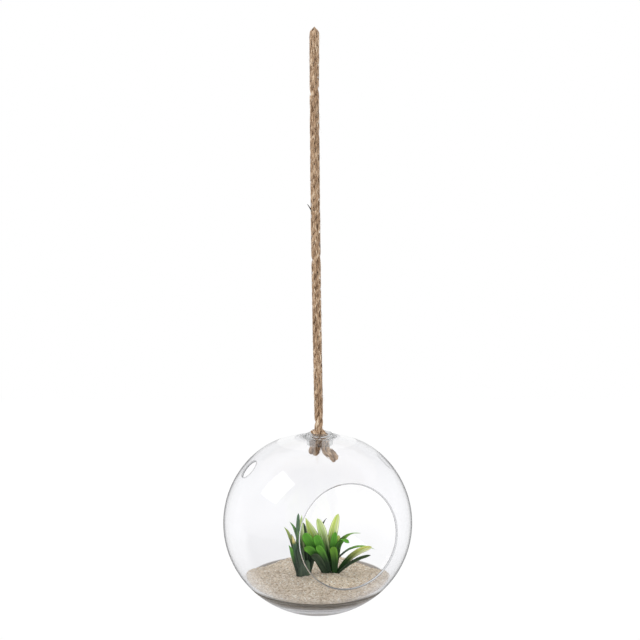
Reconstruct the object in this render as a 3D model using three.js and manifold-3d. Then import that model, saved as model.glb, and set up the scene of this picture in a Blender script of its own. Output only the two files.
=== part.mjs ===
// Hanging glass globe vase on a twisted rope, filled with sand and two artificial plants.
// Millimetres, +Z up. The origin is where a hook bears inside the rope's hanging eye.
// The large front opening faces the viewer, who looks along +Y.
import * as THREE from 'three';
import { mergeVertices } from 'three/addons/utils/BufferGeometryUtils.js';
import Module from 'manifold-3d';

const wasm = await Module();
wasm.setup();

// Clearances: between pieces that touch, and between the sand and the glass, whose facets differ
const seatGap = 0.3;
const sandGap = 0.6;

// Globe
const globeRadius = 100;
const globeHalfHeight = 97.1;
const wall = 2.5;
const footFlat = 2.3;
const floorThickness = 20.3;
const floorSharpness = 14;
const hangDrop = 505;
const globeAside = 3.3;
const globeForward = 3;
const globeSegments = 48;

// Neck, pressed in from the top of the globe. The knot is wider than its throat, so the globe hangs on
// the knot. The round follows the neck aside out to neckSpread.
const neckAside = 2.3;
const neckSpread = 50;
const throatRadius = 8;
const throatFlare = 2.1;
const boreRadius = 11.6;
const collarWall = 2.2;
const collarDepth = 14.1;
const lipWidth = 8.6;
const lipRise = 3.37;
const lipRound = 2.4;
const underDrop = 1;
const shoulderWidth = 5.4;

// The top of the globe is flattened around the neck, out to crownSpread
const crownDrop = 2.6;
const crownSpread = 65;

// Openings through the wall
const frontRadius = 53;
const frontTurn = 22;
const frontRise = 5;
const frontSides = 48;
const ventRadius = 10.4;
const ventRise = 40;
const ventTurns = [-71.7, 104];
const ventSides = 24;

// Rope
const ropeDiameter = 9.5;
const ropeSides = 12;
const cupSides = 16;
const eyeHalfWidth = 4.2;
const eyeDrop = 20;
const tailLap = 6;
const throatLead = 22;
const legGap = 0.5;
const linkLength = 12;
const runBow = 0.6;
const runStep = 24;

// Stopper knot, whose strand is squeezed thinner than the rope
const knotRise = 4.5;
const knotSqueeze = 1.1;
const knotSides = 8;
const knotLead = 1.2;
const heartBack = 0.8;
const heartDrop = 3;

// Sand
const sandDepth = 17.1;
const sandSegments = 36;
const sandRings = 6;
const sideRings = 6;
const sideCrowding = 1.4;
const rippleHeight = 0.56;
const rippleAcross = 11;
const rippleBack = 13;

// Plants. A leaf's root and tip have a share of its full width.
const leafThickness = 1.3;
const leafEdge = 0.5;
const leafFold = 1.1;
const leafRise = 2.9;
const rootShare = 0.5;
const tipShare = 0.12;
const bluntTip = 0.5;
const sharpTip = 1;
const leafSteps = 8;
const stumpSides = 14;
const stumpTaper = 0.85;
const stumpShare = 0.34;

const ropeRadius = ropeDiameter / 2;
const degree = Math.PI / 180;
const centre = new THREE.Vector3(globeAside, -globeForward, -hangDrop);
const innerRadius = globeRadius - wall;
const innerHalfHeight = globeHalfHeight - wall;
const footDrop = globeHalfHeight - footFlat;
const floorDrop = footDrop - floorThickness;
const sandDrop = floorDrop - sandDepth;
const plantScale = plantGrowth();
const tailDrop = eyeDrop + tailLap;
const throatDrop = tailDrop + throatLead;
const lipRadius = throatRadius + lipWidth;
const shoulderRadius = lipRadius + shoulderWidth;

// Depth of the inner surface below the centre at distance r from the axis: a bowl with a flat floor
function innerDepth(r) {
  const bowl = innerHalfHeight * Math.sqrt(Math.max(0, 1 - (r / innerRadius) ** 2));
  if (bowl < 1e-6) return 0;
  return (bowl ** -floorSharpness + floorDrop ** -floorSharpness) ** (-1 / floorSharpness);
}

// Distance from the axis of the inner surface, depth below the centre
function innerReach(depth) {
  let low = 0;
  let high = innerRadius;
  for (let i = 0; i < 40; i += 1) {
    const middle = (low + high) / 2;
    if (innerDepth(middle) > depth) low = middle;
    else high = middle;
  }
  return low;
}

// Height above the centre of a wall's upper half at distance r from the axis
function domeHeight(r, radius, halfHeight) {
  const flatten = crownDrop * (1 - THREE.MathUtils.smoothstep(r, shoulderRadius, crownSpread));
  return halfHeight * Math.sqrt(Math.max(0, 1 - (r / radius) ** 2)) - flatten;
}

// Heights above the centre of the globe: the crest of the lip, its underside that the knot bears on, and
// the collar's lower edge
const lipHeight = domeHeight(lipRadius, globeRadius, globeHalfHeight) + lipRise;
const lipUnderside = lipHeight - lipRound - throatFlare;
const collarFoot = lipHeight - collarDepth;
const neckAxis = new THREE.Vector3(centre.x + neckAside, centre.y, 0);

// How far the glass at a distance from the globe's axis follows the neck aside
function neckShift(r, height) {
  if (height < 0) return 0;
  return neckAside * (1 - THREE.MathUtils.smoothstep(r, lipRadius, neckSpread));
}

function toSolid(geometry) {
  const bare = geometry.index ? geometry.clone() : geometry;
  bare.deleteAttribute('normal');
  bare.deleteAttribute('uv');
  const merged = mergeVertices(bare, 1e-4);
  return new wasm.Manifold(new wasm.Mesh({
    numProp: 3,
    vertProperties: new Float32Array(merged.attributes.position.array),
    triVerts: new Uint32Array(merged.index.array),
  }));
}

function toGeometry(solid) {
  const mesh = solid.getMesh();
  const geometry = new THREE.BufferGeometry();
  geometry.setAttribute('position', new THREE.BufferAttribute(new Float32Array(mesh.vertProperties), 3));
  geometry.setIndex(new THREE.BufferAttribute(new Uint32Array(mesh.triVerts), 1));
  return geometry;
}

function union(solids) {
  return solids.reduce((whole, next) => whole.add(next));
}

// Turns a lathe, whose axis is Y, upright
function upright(geometry) {
  return geometry.rotateX(Math.PI / 2);
}

function sphere(point, radius, sides) {
  const ball = upright(new THREE.SphereGeometry(radius, sides, Math.round(sides * 0.75)));
  return toSolid(ball.translate(point.x, point.y, point.z));
}

function roundSection(radius, sides) {
  const section = new THREE.Shape();
  for (let i = 0; i < sides; i += 1) {
    const angle = (i / sides) * 2 * Math.PI;
    const x = radius * Math.cos(angle);
    const y = radius * Math.sin(angle);
    if (i === 0) section.moveTo(x, y);
    else section.lineTo(x, y);
  }
  section.closePath();
  return section;
}

// A tube along a smooth curve through the points
function tube(points, radius, sides, steps) {
  const path = new THREE.CatmullRomCurve3(points, false, 'centripetal');
  return toSolid(new THREE.ExtrudeGeometry(roundSection(radius, sides), {
    steps,
    bevelEnabled: false,
    extrudePath: path,
  }));
}

// A straight round bar between two points
function bar(from, to, radius, sides) {
  const length = from.distanceTo(to);
  const rod = new THREE.CylinderGeometry(radius, radius, length, sides);
  const turn = new THREE.Quaternion().setFromUnitVectors(
    new THREE.Vector3(0, 1, 0),
    to.clone().sub(from).normalize(),
  );
  rod.applyQuaternion(turn);
  const middle = from.clone().add(to).multiplyScalar(0.5);
  return toSolid(rod.translate(middle.x, middle.y, middle.z));
}

// Unit vector that points out of the globe at a turn from the viewer and a rise above the level
function outward(turn, rise) {
  const a = turn * degree;
  const b = rise * degree;
  return new THREE.Vector3(Math.sin(a) * Math.cos(b), -Math.cos(a) * Math.cos(b), Math.sin(b));
}

// Glass globe: outside wall, lip, collar, inside wall and floor as one closed section
function globeSection() {
  const section = [];
  const footRadius = globeRadius * Math.sqrt(1 - (footDrop / globeHalfHeight) ** 2);
  section.push([0, -footDrop], [footRadius / 2, -footDrop]);
  const bottomAngle = -Math.asin(footDrop / globeHalfHeight);
  const topAngle = Math.acos(lipRadius / globeRadius);
  const outerSteps = 18;
  for (let i = 0; i <= outerSteps; i += 1) {
    const angle = THREE.MathUtils.lerp(bottomAngle, topAngle, i / outerSteps);
    const r = globeRadius * Math.cos(angle);
    const depth = globeHalfHeight * Math.sin(angle);
    section.push([r, angle > 0 ? domeHeight(r, globeRadius, globeHalfHeight) : depth]);
  }
  // The glass rises to the lip's crest, rolls over it into the throat, and flares out again to the bore
  const crestRadius = throatRadius + lipRound;
  const rollSteps = 3;
  const quarter = Array.from({ length: rollSteps }, (_, i) => ((i + 1) / rollSteps) * 90 * degree);
  quarter.forEach((angle, i) => section.push([
    THREE.MathUtils.lerp(lipRadius, crestRadius, (i + 1) / rollSteps),
    lipHeight - lipRise * (1 - Math.sin(angle)),
  ]));
  quarter.forEach((angle) => section.push([
    crestRadius - lipRound * Math.sin(angle),
    lipHeight - lipRound * (1 - Math.cos(angle)),
  ]));
  quarter.forEach((angle) => section.push([
    boreRadius - (boreRadius - throatRadius) * Math.cos(angle),
    lipHeight - lipRound - throatFlare * Math.sin(angle),
  ]));
  const edge = collarWall / 2;
  section.push([boreRadius, collarFoot + edge]);
  section.push([boreRadius + edge, collarFoot]);
  section.push([boreRadius + collarWall, collarFoot + edge]);
  // Outside of the collar, then the inside wall down to the floor
  const underRadius = lipRadius + wall / 2;
  const underHeight = domeHeight(underRadius, innerRadius, innerHalfHeight) - underDrop;
  section.push([boreRadius + collarWall, underHeight - collarWall]);
  section.push([underRadius, underHeight]);
  const innerTop = Math.acos((shoulderRadius + wall) / innerRadius);
  const upperSteps = 9;
  for (let i = 0; i < upperSteps; i += 1) {
    const angle = THREE.MathUtils.lerp(innerTop, 0, i / upperSteps);
    const r = innerRadius * Math.cos(angle);
    section.push([r, domeHeight(r, innerRadius, innerHalfHeight)]);
  }
  const lowerSteps = 12;
  for (let i = 0; i < lowerSteps; i += 1) {
    const r = innerRadius * Math.cos((i / lowerSteps) * 90 * degree);
    section.push([r, -innerDepth(r)]);
  }
  section.push([0, -innerDepth(0)]);
  return section.map(([r, z]) => new THREE.Vector2(r, z));
}

// A round bar that pierces the wall once, square to it
function holeCutter(turn, rise, radius, sides) {
  const direction = outward(turn, rise);
  const from = direction.clone().multiplyScalar(globeRadius / 2);
  const to = direction.clone().multiplyScalar(globeRadius + radius);
  return bar(from, to, radius, sides);
}

function glassGlobe() {
  const shell = upright(new THREE.LatheGeometry(globeSection(), globeSegments));
  const place = shell.attributes.position;
  for (let i = 0; i < place.count; i += 1) {
    const r = Math.hypot(place.getX(i), place.getY(i));
    place.setX(i, place.getX(i) + neckShift(r, place.getZ(i)));
  }
  const cutters = ventTurns.map((turn) => holeCutter(turn, ventRise, ventRadius, ventSides));
  cutters.push(holeCutter(frontTurn, frontRise, frontRadius, frontSides));
  return toSolid(shell).subtract(union(cutters)).translate([centre.x, centre.y, centre.z]);
}

// Rope joints: the eye flexes at its throat, and the rope flexes again just above the knot
const throatTop = new THREE.Vector3(0, 0, -throatDrop);
const throatFoot = new THREE.Vector3(0, 0, -throatDrop - linkLength);
const knotTop = new THREE.Vector3(neckAxis.x - knotLead, neckAxis.y, centre.z + lipHeight + knotRise);
const neckTop = knotTop.clone().add(new THREE.Vector3(0, 0, linkLength));

// A stretch of rope that pivots at each end: a round head at its top pivot, a cup at its lower one
function withPivots(body, head, cup) {
  let solid = body;
  if (head) solid = solid.add(sphere(head, ropeRadius, ropeSides));
  if (cup) solid = solid.subtract(sphere(cup, ropeRadius + seatGap, cupSides));
  return solid;
}

// Hanging eye: the rope's end folded back over the hook and laid along the standing part
function eyePoints() {
  const bend = eyeHalfWidth + ropeRadius;
  const beside = ropeRadius + legGap / 2;
  const crown = ropeRadius - bend;
  const slant = bend * Math.SQRT1_2;
  const leg = (side) => [
    new THREE.Vector3(0, side * beside, -eyeDrop),
    new THREE.Vector3(0, side * (beside + bend) / 2, (crown - eyeDrop) / 2),
    new THREE.Vector3(0, side * bend, crown),
    new THREE.Vector3(0, side * slant, crown + slant),
  ];
  return [
    new THREE.Vector3(0, -beside, -tailDrop),
    ...leg(-1),
    new THREE.Vector3(0, 0, ropeRadius),
    ...leg(1).reverse(),
    new THREE.Vector3(0, beside, -tailDrop),
    new THREE.Vector3(0, beside / 2, (-tailDrop - throatDrop) / 2),
    throatTop,
  ];
}

function runPoints() {
  const points = [];
  const count = 6;
  for (let i = 0; i <= count; i += 1) {
    const share = i / count;
    const point = throatFoot.clone().lerp(neckTop, share);
    point.x -= runBow * Math.sin(Math.PI * share);
    points.push(point);
  }
  return points;
}

// Stopper knot's strand, from the rope above the lip to the cut end inside the globe, as offsets
// from the neck's axis and from the foot of the collar. The knot grows with the bore and the collar.
function knotPoints() {
  const drawnBore = 11.6;
  const drawnCollar = 14.1;
  const across = boreRadius / drawnBore;
  const along = collarDepth / drawnCollar;
  return [
    [-1.3, 0.6, 14.5],
    [-1.4, 2.8, 7.5],
    [-2.2, 3.2, -1.2],
    [-5.8, 1.2, -6.8],
    [-7.4, -2.4, -4.4],
    [-6.0, -3.4, 3.0],
    [-4.9, -3.6, 10.0],
    [-6.0, 0.6, 12.2],
    [-2.5, 5.2, 12.0],
    [3.2, 4.6, 11.4],
    [6.0, 1.4, 8.0],
    [5.0, -2.4, 1.0],
    [6.6, -3.0, -4.6],
    [12.2, -2.9, -9.4],
    [17.2, -2.6, -13.7],
  ].map(([x, y, z]) => new THREE.Vector3(
    neckAxis.x + x * across,
    neckAxis.y + y * across,
    centre.z + collarFoot + z * along,
  ));
}

function ropeKnot() {
  const points = knotPoints();
  const radius = ropeRadius - knotSqueeze / 2;
  const lumps = [bar(knotTop, points[0], ropeRadius, ropeSides)];
  points.forEach((point, i) => {
    if (i > 0) lumps.push(bar(points[i - 1], point, radius, knotSides));
    if (i < points.length - 1) lumps.push(sphere(point, radius, knotSides));
  });
  // The strands pack tight round the middle of the knot
  const heartFoot = new THREE.Vector3(neckAxis.x, neckAxis.y + heartBack, centre.z + collarFoot - heartDrop);
  const heartTop = heartFoot.clone().setZ(centre.z + lipHeight);
  lumps.push(bar(heartFoot, heartTop, radius, knotSides));
  // The throat and the collar squeeze the knot, so the knot stays a gap clear of the glass all round
  const inThroat = throatRadius - seatGap;
  const inBore = boreRadius - seatGap;
  const outside = inBore + lipRadius;
  const low = collarFoot - seatGap;
  const under = lipUnderside - seatGap;
  const high = lipHeight + seatGap;
  const squeeze = [
    [inBore, low],
    [outside, low],
    [outside, high],
    [inThroat, high],
    [inThroat, under],
    [inBore, under],
    [inBore, low],
  ].map(([r, z]) => new THREE.Vector2(r, z));
  const ring = upright(new THREE.LatheGeometry(squeeze, globeSegments / 2));
  const collar = toSolid(ring.translate(neckAxis.x, neckAxis.y, centre.z));
  return withPivots(union(lumps), knotTop, null).subtract(collar);
}

// Mounds and hollows in the sand: place from the globe's axis, spread and height
const mounds = [
  { x: 21.8, y: -12.6, spread: 16, height: 1.6 },
  { x: -5.9, y: -20.5, spread: 18, height: 1.6 },
  { x: 33.6, y: -0.7, spread: 10, height: -2.2 },
  { x: -52, y: 48, spread: 34, height: -5.5 },
  { x: 52, y: 44, spread: 34, height: -6.5 },
  { x: 0, y: 80, spread: 34, height: -3 },
  { x: 0, y: -80, spread: 40, height: -2.5 },
];

function sandSurface(x, y) {
  const ripple = rippleHeight * Math.sin(x / rippleAcross + 1) * Math.cos(y / rippleBack);
  return mounds.reduce((height, mound) => {
    const away = ((x - mound.x) ** 2 + (y - mound.y) ** 2) / mound.spread ** 2;
    return height + mound.height * Math.exp(-away);
  }, ripple - sandDrop);
}

// Distance from the axis of the edge of the sand's surface, a gap short of the glass
function sandRim(angle) {
  let r = innerReach(sandDrop) - sandGap;
  for (let i = 0; i < 12; i += 1) {
    const surface = sandSurface(r * Math.cos(angle), r * Math.sin(angle));
    r = innerReach(sandGap - surface) - sandGap;
  }
  return r;
}

// Sand bed: fills the floor of the globe. Rings of points run out over its surface, then down its side.
function sandBed() {
  const lowest = innerDepth(0) - sandGap;
  const positions = [0, 0, sandSurface(0, 0), 0, 0, -lowest];
  for (let j = 0; j < sandSegments; j += 1) {
    const angle = (j / sandSegments) * 2 * Math.PI;
    const rim = sandRim(angle);
    const rimDepth = -sandSurface(rim * Math.cos(angle), rim * Math.sin(angle));
    for (let i = 1; i <= sandRings; i += 1) {
      const x = ((rim * i) / sandRings) * Math.cos(angle);
      const y = ((rim * i) / sandRings) * Math.sin(angle);
      positions.push(x, y, sandSurface(x, y));
    }
    for (let i = 1; i < sideRings; i += 1) {
      const depth = THREE.MathUtils.lerp(lowest, rimDepth, (1 - i / sideRings) ** sideCrowding);
      const r = innerReach(depth + sandGap) - sandGap;
      positions.push(r * Math.cos(angle), r * Math.sin(angle), -depth);
    }
  }
  const rings = sandRings + sideRings - 1;
  const faces = [];
  for (let j = 0; j < sandSegments; j += 1) {
    const a = 2 + j * rings;
    const b = 2 + ((j + 1) % sandSegments) * rings;
    faces.push(0, a, b, 1, b + rings - 1, a + rings - 1);
    for (let i = 0; i < rings - 1; i += 1) {
      faces.push(a + i, a + i + 1, b + i);
      faces.push(b + i, a + i + 1, b + i + 1);
    }
  }
  const bed = new THREE.BufferGeometry();
  bed.setAttribute('position', new THREE.Float32BufferAttribute(positions, 3));
  bed.setIndex(faces);
  const pockets = union([leftStump, rightStump].map((base) => stump(base, seatGap)));
  return toSolid(bed).subtract(pockets).translate([centre.x, centre.y, centre.z]);
}

// The plants are drawn for a globe of one inner radius, and grow with it
function plantGrowth() {
  const drawnRadius = 97.5;
  return innerRadius / drawnRadius;
}

// A place in a plant, measured up from the level sand
function plantPoint(x, y, rise) {
  return new THREE.Vector3(x, y, rise).multiplyScalar(plantScale).setZ(rise * plantScale - sandDrop);
}

// A leaf: a folded blade along a bent midrib. face turns its broad side, and 0 shows it to the viewer.
// widest is the share of its length at which the leaf starts to narrow. Leaves that start early are sharp.
function leaf({ root, bow, tip, width, face = 0, widest = 0.5 }) {
  const sharpness = widest > 0.6 ? bluntTip : sharpTip;
  const start = plantPoint(...root, leafRise);
  const middle = plantPoint(...bow);
  const end = plantPoint(...tip);
  const pull = middle.clone().multiplyScalar(2).addScaledVector(start, -0.5).addScaledVector(end, -0.5);
  const rib = new THREE.QuadraticBezierCurve3(start, pull, end);
  const broad = new THREE.Vector3(Math.cos(face * degree), Math.sin(face * degree), 0);
  const section = [[-1, 1], [0, 1], [1, 1], [1, -1], [0, -1], [-1, -1]];
  const positions = [];
  for (let i = 0; i <= leafSteps; i += 1) {
    const share = i / leafSteps;
    const along = rib.getTangent(share);
    const side = broad.clone().addScaledVector(along, -broad.dot(along)).normalize();
    const back = new THREE.Vector3().crossVectors(along, side);
    const swell = THREE.MathUtils.lerp(rootShare, 1, Math.sin(Math.min(share / widest, 1) * 90 * degree));
    const past = Math.max(0, (share - widest) / (1 - widest));
    const taper = Math.max(tipShare, (1 - past ** 2) ** sharpness);
    const half = (width / 2) * plantScale * swell * taper;
    const at = rib.getPoint(share);
    section.forEach(([across, deep]) => {
      const thick = across === 0 ? leafThickness : leafEdge;
      const lift = across === 0 ? leafFold * taper : 0;
      const corner = at.clone()
        .addScaledVector(side, across * half)
        .addScaledVector(back, (deep * thick) / 2 + lift);
      positions.push(corner.x, corner.y, corner.z);
    });
  }
  const faces = [];
  const count = section.length;
  for (let i = 0; i < leafSteps; i += 1) {
    for (let j = 0; j < count; j += 1) {
      const a = i * count + j;
      const b = i * count + ((j + 1) % count);
      faces.push(a, a + count, b, b, a + count, b + count);
    }
  }
  const last = leafSteps * count;
  [[0, 5, 1], [1, 5, 4], [1, 4, 2], [2, 4, 3]].forEach(([a, b, c]) => {
    faces.push(a, c, b);
    faces.push(last + a, last + b, last + c);
  });
  const blade = new THREE.BufferGeometry();
  blade.setAttribute('position', new THREE.Float32BufferAttribute(positions, 3));
  blade.setIndex(faces);
  return blade;
}

// Stump: the leaves' sheathed base, pressed into the sand. grow makes the pocket that it leaves there.
function stump({ root, halfWidth, halfDepth, height }, grow = 0) {
  const top = plantPoint(...root, height);
  const bottom = -sandDrop - stumpShare * sandDepth - grow;
  const base = upright(new THREE.CylinderGeometry(1, stumpTaper, top.z - bottom, stumpSides));
  base.scale(halfWidth * plantScale + grow, halfDepth * plantScale + grow, 1);
  return toSolid(base.translate(top.x, top.y, (top.z + bottom) / 2));
}

function plant(leaves, base) {
  const solids = leaves.map((spec) => toSolid(leaf(spec)));
  solids.push(stump(base));
  return union(solids).translate([centre.x, centre.y, centre.z]);
}

const leftLeaves = [
  { root: [-19.7, -5.6], bow: [-21, -6.6, 34], tip: [-20.4, -5.6, 68], width: 6.4, face: 55, widest: 0.8 },
  { root: [-20.2, -5.6], bow: [-19.6, -6.6, 36], tip: [-29.6, -8.6, 59.9], width: 5.6, face: 40 },
  { root: [-20.7, -6.6], bow: [-26.2, -9.6, 35], tip: [-35.4, -12.6, 55.3], width: 5.6, face: 50 },
  { root: [-20.2, -8.1], bow: [-24.6, -11.6, 20.3], tip: [-30.4, -14.5, 36.4], width: 6, face: 35 },
  { root: [-16.7, -5.2], bow: [-18.1, -4.2, 34], tip: [-16.9, -2.7, 65.3], width: 8.9, face: -12 },
  { root: [-11.3, -3.2], bow: [-13.4, -0.7, 29.1], tip: [-14, 1.3, 55.9], width: 8.9, face: -20, widest: 0.65 },
  { root: [-10.8, -3.7], bow: [-8, -1.2, 14.2], tip: [-5.2, 1.6, 25.1], width: 8.9, face: 10, widest: 0.65 },
  { root: [-17.8, -8.1], bow: [-22.2, -11.1, 26], tip: [-27.6, -12.6, 48], width: 5.8, face: 20 },
  { root: [-13.8, -7.1], bow: [-17.2, -10.6, 20.2], tip: [-19.3, -14, 36], width: 7.9, face: 0, widest: 0.65 },
];

const rightLeaves = [
  { root: [10.8, 5.2], bow: [7.8, 3.3, 32.4], tip: [-0.2, 1.3, 60.7], width: 9.6, face: 0, widest: 0.65 },
  { root: [10, 5.2], bow: [-1, 5.4, 30], tip: [-13, 5.4, 60.1], width: 13, face: 5 },
  { root: [8.4, 2.3], bow: [-3.5, -3.7, 26.1], tip: [-14.5, -7.6, 47], width: 10.9, face: 8, widest: 0.8 },
  { root: [11, 2.3], bow: [4.6, -3.7, 25.1], tip: [-2.3, -6.6, 44.9], width: 9.9, face: 5, widest: 0.8 },
  { root: [8.9, 0.9], bow: [-2.9, -7.6, 23.5], tip: [-14, -14.5, 33.6], width: 9.4, face: 12, widest: 0.8 },
  { root: [13.2, 0.9], bow: [6.7, -6.6, 20.7], tip: [-0.7, -11.6, 34.8], width: 8.2, face: 5, widest: 0.8 },
  { root: [9.9, 0.6], bow: [2, -6.6, 16.2], tip: [-5.5, -12.6, 25.3], width: 8.9, face: 8, widest: 0.8 },
  { root: [18, 1.4], bow: [17.9, -1.7, 17.9], tip: [15.7, -3.7, 31.2], width: 8.4, face: 0, widest: 0.8 },
  { root: [16.4, 5.2], bow: [14.5, 6.2, 29.3], tip: [22.1, 7.2, 64], width: 9.9, face: 0, widest: 0.65 },
  { root: [17.4, 4.2], bow: [16.4, 3.3, 24.5], tip: [19.1, 2.8, 45.2], width: 7.9, face: -8, widest: 0.65 },
  { root: [18, 6.4], bow: [20.8, 9.2, 20.7], tip: [22.4, 12.1, 39.2], width: 6.9, face: 15, widest: 0.65 },
  { root: [19, 6], bow: [24.2, 6.7, 33], tip: [46.1, 5.2, 43.2], width: 6.2, face: 22 },
  { root: [19.4, 5.2], bow: [22.8, 3.3, 31.5], tip: [33.5, 0.3, 33.9], width: 7.6, face: 25, widest: 0.65 },
  { root: [12, 7.4], bow: [34.2, 14, 22.7], tip: [61.4, 19.1, 21.2], width: 6.9, face: 80 },
  { root: [20.4, 5], bow: [37.2, 1.3, 20], tip: [57.5, -2.7, 30.5], width: 7.6, face: 0, widest: 0.8 },
  { root: [20.6, 4], bow: [38, -2.2, 14.6], tip: [56.2, -6.6, 22.6], width: 5.4, face: 6, widest: 0.8 },
  { root: [13, 7.2], bow: [2.5, 13, 34], tip: [9.8, 14, 57.3], width: 3.6, face: 10 },
];

const leftStump = { root: [-15.2, -5.4], halfWidth: 8.4, halfDepth: 4.5, height: 17.7 };
const rightStump = { root: [13, 3.8], halfWidth: 9, halfDepth: 4.6, height: 5.2 };

const eyeCurve = eyePoints();
const eye = withPivots(tube(eyeCurve, ropeRadius, ropeSides, 44), null, throatTop);
const throat = withPivots(
  tube([throatTop, throatTop.clone().lerp(throatFoot, 0.5), throatFoot], ropeRadius, ropeSides, 2),
  throatTop,
  throatFoot,
);
const runCurve = runPoints();
const runLength = throatFoot.distanceTo(neckTop);
const run = withPivots(
  tube(runCurve, ropeRadius, ropeSides, Math.round(runLength / runStep)),
  throatFoot,
  neckTop,
);
const neckLink = withPivots(
  tube([neckTop, neckTop.clone().lerp(knotTop, 0.5), knotTop], ropeRadius, ropeSides, 2),
  neckTop,
  knotTop,
);
const knot = ropeKnot();
const sand = sandBed();
const glass = glassGlobe();
const leftPlant = plant(leftLeaves, leftStump);
const rightPlant = plant(rightLeaves, rightStump);

const assembly = new THREE.Group();

function addPiece(name, solid, color, roughness, extra = {}) {
  const material = new THREE.MeshStandardMaterial({ color, roughness, metalness: 0, ...extra });
  const mesh = new THREE.Mesh(toGeometry(solid), material);
  mesh.name = name;
  assembly.add(mesh);
}

const jute = 0xa08870;
addPiece('rope_eye', eye, jute, 0.95);
addPiece('rope_throat', throat, jute, 0.95);
addPiece('rope_run', run, jute, 0.95);
addPiece('rope_neck', neckLink, jute, 0.95);
addPiece('rope_knot', knot, jute, 0.95);
addPiece('glass_globe', glass, 0xf4f6f8, 0.03, { transparent: true, opacity: 0.25 });
addPiece('sand_bed', sand, 0xb2a594, 1);
addPiece('left_plant', leftPlant, 0x3c8228, 0.5);
addPiece('right_plant', rightPlant, 0x5aa032, 0.5);

export default assembly;
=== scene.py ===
import math
import random

import bpy
import numpy as np
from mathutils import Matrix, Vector, noise


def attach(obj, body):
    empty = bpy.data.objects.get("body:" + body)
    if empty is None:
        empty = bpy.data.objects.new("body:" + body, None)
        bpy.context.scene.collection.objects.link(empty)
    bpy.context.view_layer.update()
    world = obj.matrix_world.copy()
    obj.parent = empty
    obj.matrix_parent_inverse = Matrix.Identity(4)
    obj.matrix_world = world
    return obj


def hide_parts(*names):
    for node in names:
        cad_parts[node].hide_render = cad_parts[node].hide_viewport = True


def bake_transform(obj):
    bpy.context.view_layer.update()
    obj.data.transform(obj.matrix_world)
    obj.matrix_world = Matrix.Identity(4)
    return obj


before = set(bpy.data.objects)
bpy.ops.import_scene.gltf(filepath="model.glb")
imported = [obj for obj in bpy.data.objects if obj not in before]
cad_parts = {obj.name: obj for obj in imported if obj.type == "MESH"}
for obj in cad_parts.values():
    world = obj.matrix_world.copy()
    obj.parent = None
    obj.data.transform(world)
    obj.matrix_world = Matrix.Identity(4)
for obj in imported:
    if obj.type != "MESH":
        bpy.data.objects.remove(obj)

# Looks of a hanging glass globe vase: twisted jute rope, clear glass, sand and two artificial plants.
# Metres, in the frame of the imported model: +Z up, the origin where a hook bears inside the rope's eye.

MM = 0.001
TAU = 2 * math.pi
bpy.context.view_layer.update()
random.seed(7)

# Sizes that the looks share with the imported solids
GLOBE_CENTRE = np.array([0.0033, -0.003, -0.505])
GLOBE_RADIUS = 0.1
GLOBE_HALF_HEIGHT = 0.0971
WALL = 0.0025
FOOT_DROP = 0.0948
FLOOR_DROP = 0.0739
FLOOR_SHARPNESS = 14
NECK_ASIDE = 0.0023
NECK_SPREAD = 0.05
THROAT_RADIUS = 0.008
THROAT_FLARE = 0.0021
BORE_RADIUS = 0.0116
COLLAR_WALL = 0.0022
BEAD_RADIUS = 0.0013
COLLAR_DEPTH = 0.0141
LIP_WIDTH = 0.0086
LIP_RISE = 0.00337
LIP_ROUND = 0.0024
LIP_RADIUS = THROAT_RADIUS + LIP_WIDTH
SHOULDER_RADIUS = LIP_RADIUS + 0.0054
UNDER_DROP = 0.0003
CROWN_DROP = 0.0026
CROWN_SPREAD = 0.065
SAND_DROP = 0.0574
INNER_RADIUS = GLOBE_RADIUS - WALL
INNER_HALF_HEIGHT = GLOBE_HALF_HEIGHT - WALL

# Openings through the wall: turn from the viewer and rise above the level in degrees, and radius
OPENINGS = ((22, 5, 0.053), (-71.7, 40, 0.0104), (104, 40, 0.0104))


def smoothstep(low, high, x):
    t = np.clip((x - low) / (high - low), 0, 1)
    return t * t * (3 - 2 * t)


def dome_height(r, radius, half_height):
    flatten = CROWN_DROP * (1 - smoothstep(SHOULDER_RADIUS, CROWN_SPREAD, r))
    return half_height * math.sqrt(max(0.0, 1 - (r / radius) ** 2)) - flatten


LIP_HEIGHT = dome_height(LIP_RADIUS, GLOBE_RADIUS, GLOBE_HALF_HEIGHT) + LIP_RISE
LIP_UNDERSIDE = LIP_HEIGHT - LIP_ROUND - THROAT_FLARE
COLLAR_FOOT = LIP_HEIGHT - COLLAR_DEPTH
NECK_AXIS = GLOBE_CENTRE[:2] + np.array([NECK_ASIDE, 0])


def linear(red, green, blue):
    """A colour named by its 8-bit display values, as linear values."""
    values = [c / 255 for c in (red, green, blue)]
    return tuple(c / 12.92 if c <= 0.04045 else ((c + 0.055) / 1.055) ** 2.4 for c in values)


def mesh_object(name, points, faces, smooth=True):
    mesh = bpy.data.meshes.new(name)
    mesh.from_pydata([tuple(p) for p in points], [], faces)
    mesh.polygons.foreach_set("use_smooth", [smooth] * len(mesh.polygons))
    mesh.update()
    piece = bpy.data.objects.new(name, mesh)
    bpy.context.collection.objects.link(piece)
    return piece


# Camera, at the photograph's viewing angle
CAMERA_PLACE = (0.005735, -1.242872, -0.140992)
CAMERA_DROOP = 6.823
LENS = 67.5


def make_camera():
    data = bpy.data.cameras.new("photo_camera")
    data.sensor_width = 36
    data.lens = LENS
    data.clip_start = 0.01
    data.clip_end = 50
    camera = bpy.data.objects.new("photo_camera", data)
    camera.location = CAMERA_PLACE
    camera.rotation_euler = (math.radians(90 - CAMERA_DROOP), 0, 0)
    bpy.context.collection.objects.link(camera)
    bpy.context.scene.camera = camera


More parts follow.
